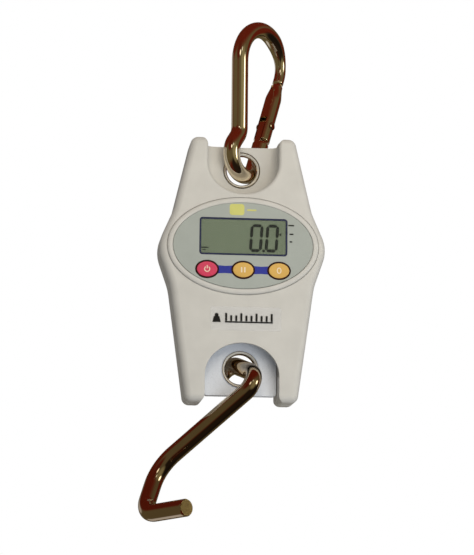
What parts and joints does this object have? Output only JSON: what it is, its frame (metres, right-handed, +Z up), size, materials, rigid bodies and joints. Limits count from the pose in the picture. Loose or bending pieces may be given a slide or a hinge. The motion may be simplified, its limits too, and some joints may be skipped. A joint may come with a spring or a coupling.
{
  "type": "hanging scale",
  "caption": "Hanging crane-style digital scale: waisted plastic housing with oval display panel, carabiner above and bent steel load hook below.",
  "frame": {"origin": "inner apex of the carabiner's crown, where the scale hangs", "axes": "+Z up along the scale's length, display faces -Y, +X to the right of the display"},
  "size_m": [0.1157, 0.0759, 0.3291],
  "materials": {
    "polished_steel": "polished nickel-bronze plating, near mirror",
    "bright_steel": "polished bright steel with a blue cast",
    "plain_steel": "satin zinc-plated steel",
    "body_plastic": "warm light grey moulded plastic, satin",
    "overlay_film": "grey-green printed film",
    "clear_window": "clear acrylic window",
    "lcd": "olive grey liquid crystal display",
    "board": "green circuit board",
    "black_plastic": "black moulded plastic",
    "red_plastic": "red printed button",
    "yellow_plastic": "amber printed button",
    "label_film": "glossy clear sticker on grey",
    "seal_rubber": "soft foam rubber",
    "alloy": "machined aluminium alloy",
    "cable_jacket": "dark cable jacket",
    "battery_jacket": "foil battery jacket"
  },
  "bodies": {
    "carabiner": {"carabiner_body": "polished_steel", "gate_rivet": "bright_steel"},
    "gate": {"carabiner_gate": "polished_steel", "gate_spring": "plain_steel"},
    "housing": {"upper_eyelet": "bright_steel", "lower_eyelet": "bright_steel", "lower_plate": "bright_steel", "battery_contact_1": "bright_steel", "battery_contact_2": "bright_steel", "battery_contact_3": "bright_steel", "upper_plate": "plain_steel", "case_screw_1": "plain_steel", "case_screw_2": "plain_steel", "case_screw_3": "plain_steel", "case_screw_4": "plain_steel", "case_screw_5": "plain_steel", "case_screw_6": "plain_steel", "upper_bolt_left": "plain_steel", "upper_bolt_right": "plain_steel", "lower_bolt_left": "plain_steel", "lower_bolt_right": "plain_steel", "battery_spring_1": "plain_steel", "battery_spring_2": "plain_steel", "battery_spring_3": "plain_steel", "front_shell": "body_plastic", "rear_shell": "body_plastic", "display_bezel": "body_plastic", "front_overlay": "overlay_film", "lcd_window": "clear_window", "lcd_panel": "lcd", "circuit_board": "board", "power_switch": "black_plastic", "hold_switch": "black_plastic", "zero_switch": "black_plastic", "gauge_cover": "black_plastic", "battery_holder": "black_plastic", "capacity_label": "label_film", "seal_left": "seal_rubber", "seal_right": "seal_rubber", "load_cell": "alloy", "cell_cable": "cable_jacket", "battery_1": "battery_jacket", "battery_2": "battery_jacket", "battery_3": "battery_jacket"},
    "power_button": {"power_button": "red_plastic"},
    "hold_button": {"hold_button": "yellow_plastic"},
    "zero_button": {"zero_button": "yellow_plastic"},
    "battery_door": {"battery_door": "body_plastic"},
    "load_hook": {"load_hook": "polished_steel"}
  },
  "joints": [
    {"name": "gate_hinge", "type": "hinge", "parent": "carabiner", "child": "gate", "pos_m": [0.0026, 0.00294, -0.05898], "axis": [0.749, -0.6626, 0], "range_deg": [0, 28], "stiffness_Nm_per_rad": 0.3, "springref_deg": -20.05},
    {"name": "housing_swing", "type": "hinge", "parent": "carabiner", "child": "housing", "pos_m": [-0.01506, -0.01589, -0.0933], "axis": [0, 1, 0], "range_deg": [-9, 8]},
    {"name": "hook_swing", "type": "hinge", "parent": "housing", "child": "load_hook", "pos_m": [-0.01506, -0.01589, -0.2219], "axis": [0, -1, 0], "range_deg": [-8, 56]},
    {"name": "power_press", "type": "slide", "parent": "housing", "child": "power_button", "axis": [0, 1, 0], "range_m": [0, 0.0004], "stiffness_N_per_m": 1200, "springref_m": -0.0003},
    {"name": "hold_press", "type": "slide", "parent": "housing", "child": "hold_button", "axis": [0, 1, 0], "range_m": [0, 0.0004], "stiffness_N_per_m": 1200, "springref_m": -0.0003},
    {"name": "zero_press", "type": "slide", "parent": "housing", "child": "zero_button", "axis": [0, 1, 0], "range_m": [0, 0.0004], "stiffness_N_per_m": 1200, "springref_m": -0.0003},
    {"name": "door_lift", "type": "slide", "parent": "housing", "child": "battery_door", "axis": [0, 1, 0], "range_m": [0, 0.02]}
  ]
}
